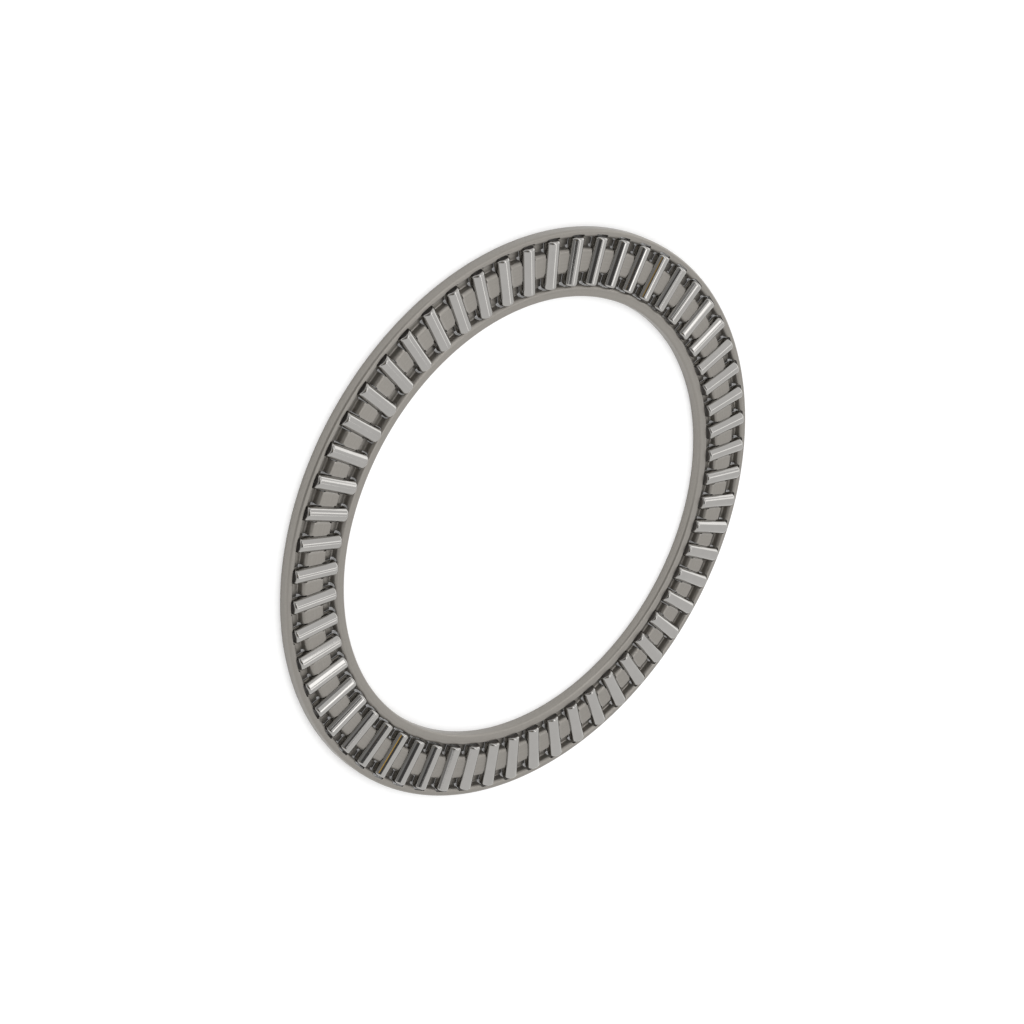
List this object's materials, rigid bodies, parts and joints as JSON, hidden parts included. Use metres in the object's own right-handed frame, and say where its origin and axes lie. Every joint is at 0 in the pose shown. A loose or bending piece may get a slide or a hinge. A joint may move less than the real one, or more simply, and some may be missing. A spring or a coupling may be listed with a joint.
{
  "type": "thrust needle roller bearing",
  "caption": "Thin ring of needle rollers set like spokes in a pressed sheet-steel cage, which takes thrust between two flat faces.",
  "frame": {"origin": "centre of the ring, in the plane of the roller axes, halfway through its height", "axes": "+Z along the bearing's axis, out of the side where the cage shows its raised middle land; the first roller lies along -Y"},
  "size_m": [0.155, 0.155, 0.004],
  "materials": {
    "cage_sheet": "pressed and tumbled cold-rolled sheet steel, satin grey",
    "roller_steel": "hardened, ground and superfinished bearing steel, mirror bright"
  },
  "bodies": {
    "cage": {"cage": "cage_sheet"},
    "roller_01": {"roller_01": "roller_steel"},
    "roller_02": {"roller_02": "roller_steel"},
    "roller_03": {"roller_03": "roller_steel"},
    "roller_04": {"roller_04": "roller_steel"},
    "roller_05": {"roller_05": "roller_steel"},
    "roller_06": {"roller_06": "roller_steel"},
    "roller_07": {"roller_07": "roller_steel"},
    "roller_08": {"roller_08": "roller_steel"},
    "roller_09": {"roller_09": "roller_steel"},
    "roller_10": {"roller_10": "roller_steel"},
    "roller_11": {"roller_11": "roller_steel"},
    "roller_12": {"roller_12": "roller_steel"},
    "roller_13": {"roller_13": "roller_steel"},
    "roller_14": {"roller_14": "roller_steel"},
    "roller_15": {"roller_15": "roller_steel"},
    "roller_16": {"roller_16": "roller_steel"},
    "roller_17": {"roller_17": "roller_steel"},
    "roller_18": {"roller_18": "roller_steel"},
    "roller_19": {"roller_19": "roller_steel"},
    "roller_20": {"roller_20": "roller_steel"},
    "roller_21": {"roller_21": "roller_steel"},
    "roller_22": {"roller_22": "roller_steel"},
    "roller_23": {"roller_23": "roller_steel"},
    "roller_24": {"roller_24": "roller_steel"},
    "roller_25": {"roller_25": "roller_steel"},
    "roller_26": {"roller_26": "roller_steel"},
    "roller_27": {"roller_27": "roller_steel"},
    "roller_28": {"roller_28": "roller_steel"},
    "roller_29": {"roller_29": "roller_steel"},
    "roller_30": {"roller_30": "roller_steel"},
    "roller_31": {"roller_31": "roller_steel"},
    "roller_32": {"roller_32": "roller_steel"},
    "roller_33": {"roller_33": "roller_steel"},
    "roller_34": {"roller_34": "roller_steel"},
    "roller_35": {"roller_35": "roller_steel"},
    "roller_36": {"roller_36": "roller_steel"},
    "roller_37": {"roller_37": "roller_steel"},
    "roller_38": {"roller_38": "roller_steel"},
    "roller_39": {"roller_39": "roller_steel"},
    "roller_40": {"roller_40": "roller_steel"},
    "roller_41": {"roller_41": "roller_steel"},
    "roller_42": {"roller_42": "roller_steel"},
    "roller_43": {"roller_43": "roller_steel"},
    "roller_44": {"roller_44": "roller_steel"},
    "roller_45": {"roller_45": "roller_steel"},
    "roller_46": {"roller_46": "roller_steel"},
    "roller_47": {"roller_47": "roller_steel"},
    "roller_48": {"roller_48": "roller_steel"},
    "roller_49": {"roller_49": "roller_steel"},
    "roller_50": {"roller_50": "roller_steel"},
    "roller_51": {"roller_51": "roller_steel"},
    "roller_52": {"roller_52": "roller_steel"},
    "roller_53": {"roller_53": "roller_steel"},
    "roller_54": {"roller_54": "roller_steel"},
    "roller_55": {"roller_55": "roller_steel"},
    "roller_56": {"roller_56": "roller_steel"},
    "roller_57": {"roller_57": "roller_steel"},
    "roller_58": {"roller_58": "roller_steel"}
  },
  "joints": [
    {"name": "roller_01_spin", "type": "hinge", "parent": "cage", "child": "roller_01", "pos_m": [0, -0.0694, 0], "axis": [0, -1, 0], "continuous": true},
    {"name": "roller_02_spin", "type": "hinge", "parent": "cage", "child": "roller_02", "pos_m": [0.0075, -0.06899, 0], "axis": [0.1081, -0.9941, 0], "continuous": true},
    {"name": "roller_03_spin", "type": "hinge", "parent": "cage", "child": "roller_03", "pos_m": [0.01492, -0.06778, 0], "axis": [0.215, -0.9766, 0], "continuous": true},
    {"name": "roller_04_spin", "type": "hinge", "parent": "cage", "child": "roller_04", "pos_m": [0.02216, -0.06577, 0], "axis": [0.3193, -0.9477, 0], "continuous": true},
    {"name": "roller_05_spin", "type": "hinge", "parent": "cage", "child": "roller_05", "pos_m": [0.02914, -0.06299, 0], "axis": [0.4199, -0.9076, 0], "continuous": true},
    {"name": "roller_06_spin", "type": "hinge", "parent": "cage", "child": "roller_06", "pos_m": [0.03578, -0.05947, 0], "axis": [0.5156, -0.8569, 0], "continuous": true},
    {"name": "roller_07_spin", "type": "hinge", "parent": "cage", "child": "roller_07", "pos_m": [0.042, -0.05525, 0], "axis": [0.6052, -0.7961, 0], "continuous": true},
    {"name": "roller_08_spin", "type": "hinge", "parent": "cage", "child": "roller_08", "pos_m": [0.04773, -0.05038, 0], "axis": [0.6877, -0.726, 0], "continuous": true},
    {"name": "roller_09_spin", "type": "hinge", "parent": "cage", "child": "roller_09", "pos_m": [0.05289, -0.04493, 0], "axis": [0.7622, -0.6474, 0], "continuous": true},
    {"name": "roller_10_spin", "type": "hinge", "parent": "cage", "child": "roller_10", "pos_m": [0.05744, -0.03895, 0], "axis": [0.8277, -0.5612, 0], "continuous": true},
    {"name": "roller_11_spin", "type": "hinge", "parent": "cage", "child": "roller_11", "pos_m": [0.06132, -0.03251, 0], "axis": [0.8835, -0.4684, 0], "continuous": true},
    {"name": "roller_12_spin", "type": "hinge", "parent": "cage", "child": "roller_12", "pos_m": [0.06447, -0.02569, 0], "axis": [0.929, -0.3701, 0], "continuous": true},
    {"name": "roller_13_spin", "type": "hinge", "parent": "cage", "child": "roller_13", "pos_m": [0.06687, -0.01857, 0], "axis": [0.9635, -0.2675, 0], "continuous": true},
    {"name": "roller_14_spin", "type": "hinge", "parent": "cage", "child": "roller_14", "pos_m": [0.06849, -0.01123, 0], "axis": [0.9868, -0.1618, 0], "continuous": true},
    {"name": "roller_15_spin", "type": "hinge", "parent": "cage", "child": "roller_15", "pos_m": [0.0693, -0.00376, 0], "axis": [0.9985, -0.0541, 0], "continuous": true},
    {"name": "roller_16_spin", "type": "hinge", "parent": "cage", "child": "roller_16", "pos_m": [0.0693, 0.00376, 0], "axis": [0.9985, 0.0541, 0], "continuous": true},
    {"name": "roller_17_spin", "type": "hinge", "parent": "cage", "child": "roller_17", "pos_m": [0.06849, 0.01123, 0], "axis": [0.9868, 0.1618, 0], "continuous": true},
    {"name": "roller_18_spin", "type": "hinge", "parent": "cage", "child": "roller_18", "pos_m": [0.06687, 0.01857, 0], "axis": [0.9635, 0.2675, 0], "continuous": true},
    {"name": "roller_19_spin", "type": "hinge", "parent": "cage", "child": "roller_19", "pos_m": [0.06447, 0.02569, 0], "axis": [0.929, 0.3701, 0], "continuous": true},
    {"name": "roller_20_spin", "type": "hinge", "parent": "cage", "child": "roller_20", "pos_m": [0.06132, 0.03251, 0], "axis": [0.8835, 0.4684, 0], "continuous": true},
    {"name": "roller_21_spin", "type": "hinge", "parent": "cage", "child": "roller_21", "pos_m": [0.05744, 0.03895, 0], "axis": [0.8277, 0.5612, 0], "continuous": true},
    {"name": "roller_22_spin", "type": "hinge", "parent": "cage", "child": "roller_22", "pos_m": [0.05289, 0.04493, 0], "axis": [0.7622, 0.6474, 0], "continuous": true},
    {"name": "roller_23_spin", "type": "hinge", "parent": "cage", "child": "roller_23", "pos_m": [0.04773, 0.05038, 0], "axis": [0.6877, 0.726, 0], "continuous": true},
    {"name": "roller_24_spin", "type": "hinge", "parent": "cage", "child": "roller_24", "pos_m": [0.042, 0.05525, 0], "axis": [0.6052, 0.7961, 0], "continuous": true},
    {"name": "roller_25_spin", "type": "hinge", "parent": "cage", "child": "roller_25", "pos_m": [0.03578, 0.05947, 0], "axis": [0.5156, 0.8569, 0], "continuous": true},
    {"name": "roller_26_spin", "type": "hinge", "parent": "cage", "child": "roller_26", "pos_m": [0.02914, 0.06299, 0], "axis": [0.4199, 0.9076, 0], "continuous": true},
    {"name": "roller_27_spin", "type": "hinge", "parent": "cage", "child": "roller_27", "pos_m": [0.02216, 0.06577, 0], "axis": [0.3193, 0.9477, 0], "continuous": true},
    {"name": "roller_28_spin", "type": "hinge", "parent": "cage", "child": "roller_28", "pos_m": [0.01492, 0.06778, 0], "axis": [0.215, 0.9766, 0], "continuous": true},
    {"name": "roller_29_spin", "type": "hinge", "parent": "cage", "child": "roller_29", "pos_m": [0.0075, 0.06899, 0], "axis": [0.1081, 0.9941, 0], "continuous": true},
    {"name": "roller_30_spin", "type": "hinge", "parent": "cage", "child": "roller_30", "pos_m": [0, 0.0694, 0], "axis": [0, 1, 0], "continuous": true},
    {"name": "roller_31_spin", "type": "hinge", "parent": "cage", "child": "roller_31", "pos_m": [-0.0075, 0.06899, 0], "axis": [-0.1081, 0.9941, 0], "continuous": true},
    {"name": "roller_32_spin", "type": "hinge", "parent": "cage", "child": "roller_32", "pos_m": [-0.01492, 0.06778, 0], "axis": [-0.215, 0.9766, 0], "continuous": true},
    {"name": "roller_33_spin", "type": "hinge", "parent": "cage", "child": "roller_33", "pos_m": [-0.02216, 0.06577, 0], "axis": [-0.3193, 0.9477, 0], "continuous": true},
    {"name": "roller_34_spin", "type": "hinge", "parent": "cage", "child": "roller_34", "pos_m": [-0.02914, 0.06299, 0], "axis": [-0.4199, 0.9076, 0], "continuous": true},
    {"name": "roller_35_spin", "type": "hinge", "parent": "cage", "child": "roller_35", "pos_m": [-0.03578, 0.05947, 0], "axis": [-0.5156, 0.8569, 0], "continuous": true},
    {"name": "roller_36_spin", "type": "hinge", "parent": "cage", "child": "roller_36", "pos_m": [-0.042, 0.05525, 0], "axis": [-0.6052, 0.7961, 0], "continuous": true},
    {"name": "roller_37_spin", "type": "hinge", "parent": "cage", "child": "roller_37", "pos_m": [-0.04773, 0.05038, 0], "axis": [-0.6877, 0.726, 0], "continuous": true},
    {"name": "roller_38_spin", "type": "hinge", "parent": "cage", "child": "roller_38", "pos_m": [-0.05289, 0.04493, 0], "axis": [-0.7622, 0.6474, 0], "continuous": true},
    {"name": "roller_39_spin", "type": "hinge", "parent": "cage", "child": "roller_39", "pos_m": [-0.05744, 0.03895, 0], "axis": [-0.8277, 0.5612, 0], "continuous": true},
    {"name": "roller_40_spin", "type": "hinge", "parent": "cage", "child": "roller_40", "pos_m": [-0.06132, 0.03251, 0], "axis": [-0.8835, 0.4684, 0], "continuous": true},
    {"name": "roller_41_spin", "type": "hinge", "parent": "cage", "child": "roller_41", "pos_m": [-0.06447, 0.02569, 0], "axis": [-0.929, 0.3701, 0], "continuous": true},
    {"name": "roller_42_spin", "type": "hinge", "parent": "cage", "child": "roller_42", "pos_m": [-0.06687, 0.01857, 0], "axis": [-0.9635, 0.2675, 0], "continuous": true},
    {"name": "roller_43_spin", "type": "hinge", "parent": "cage", "child": "roller_43", "pos_m": [-0.06849, 0.01123, 0], "axis": [-0.9868, 0.1618, 0], "continuous": true},
    {"name": "roller_44_spin", "type": "hinge", "parent": "cage", "child": "roller_44", "pos_m": [-0.0693, 0.00376, 0], "axis": [-0.9985, 0.0541, 0], "continuous": true},
    {"name": "roller_45_spin", "type": "hinge", "parent": "cage", "child": "roller_45", "pos_m": [-0.0693, -0.00376, 0], "axis": [-0.9985, -0.0541, 0], "continuous": true},
    {"name": "roller_46_spin", "type": "hinge", "parent": "cage", "child": "roller_46", "pos_m": [-0.06849, -0.01123, 0], "axis": [-0.9868, -0.1618, 0], "continuous": true},
    {"name": "roller_47_spin", "type": "hinge", "parent": "cage", "child": "roller_47", "pos_m": [-0.06687, -0.01857, 0], "axis": [-0.9635, -0.2675, 0], "continuous": true},
    {"name": "roller_48_spin", "type": "hinge", "parent": "cage", "child": "roller_48", "pos_m": [-0.06447, -0.02569, 0], "axis": [-0.929, -0.3701, 0], "continuous": true},
    {"name": "roller_49_spin", "type": "hinge", "parent": "cage", "child": "roller_49", "pos_m": [-0.06132, -0.03251, 0], "axis": [-0.8835, -0.4684, 0], "continuous": true},
    {"name": "roller_50_spin", "type": "hinge", "parent": "cage", "child": "roller_50", "pos_m": [-0.05744, -0.03895, 0], "axis": [-0.8277, -0.5612, 0], "continuous": true},
    {"name": "roller_51_spin", "type": "hinge", "parent": "cage", "child": "roller_51", "pos_m": [-0.05289, -0.04493, 0], "axis": [-0.7622, -0.6474, 0], "continuous": true},
    {"name": "roller_52_spin", "type": "hinge", "parent": "cage", "child": "roller_52", "pos_m": [-0.04773, -0.05038, 0], "axis": [-0.6877, -0.726, 0], "continuous": true},
    {"name": "roller_53_spin", "type": "hinge", "parent": "cage", "child": "roller_53", "pos_m": [-0.042, -0.05525, 0], "axis": [-0.6052, -0.7961, 0], "continuous": true},
    {"name": "roller_54_spin", "type": "hinge", "parent": "cage", "child": "roller_54", "pos_m": [-0.03578, -0.05947, 0], "axis": [-0.5156, -0.8569, 0], "continuous": true},
    {"name": "roller_55_spin", "type": "hinge", "parent": "cage", "child": "roller_55", "pos_m": [-0.02914, -0.06299, 0], "axis": [-0.4199, -0.9076, 0], "continuous": true},
    {"name": "roller_56_spin", "type": "hinge", "parent": "cage", "child": "roller_56", "pos_m": [-0.02216, -0.06577, 0], "axis": [-0.3193, -0.9477, 0], "continuous": true},
    {"name": "roller_57_spin", "type": "hinge", "parent": "cage", "child": "roller_57", "pos_m": [-0.01492, -0.06778, 0], "axis": [-0.215, -0.9766, 0], "continuous": true},
    {"name": "roller_58_spin", "type": "hinge", "parent": "cage", "child": "roller_58", "pos_m": [-0.0075, -0.06899, 0], "axis": [-0.1081, -0.9941, 0], "continuous": true}
  ]
}
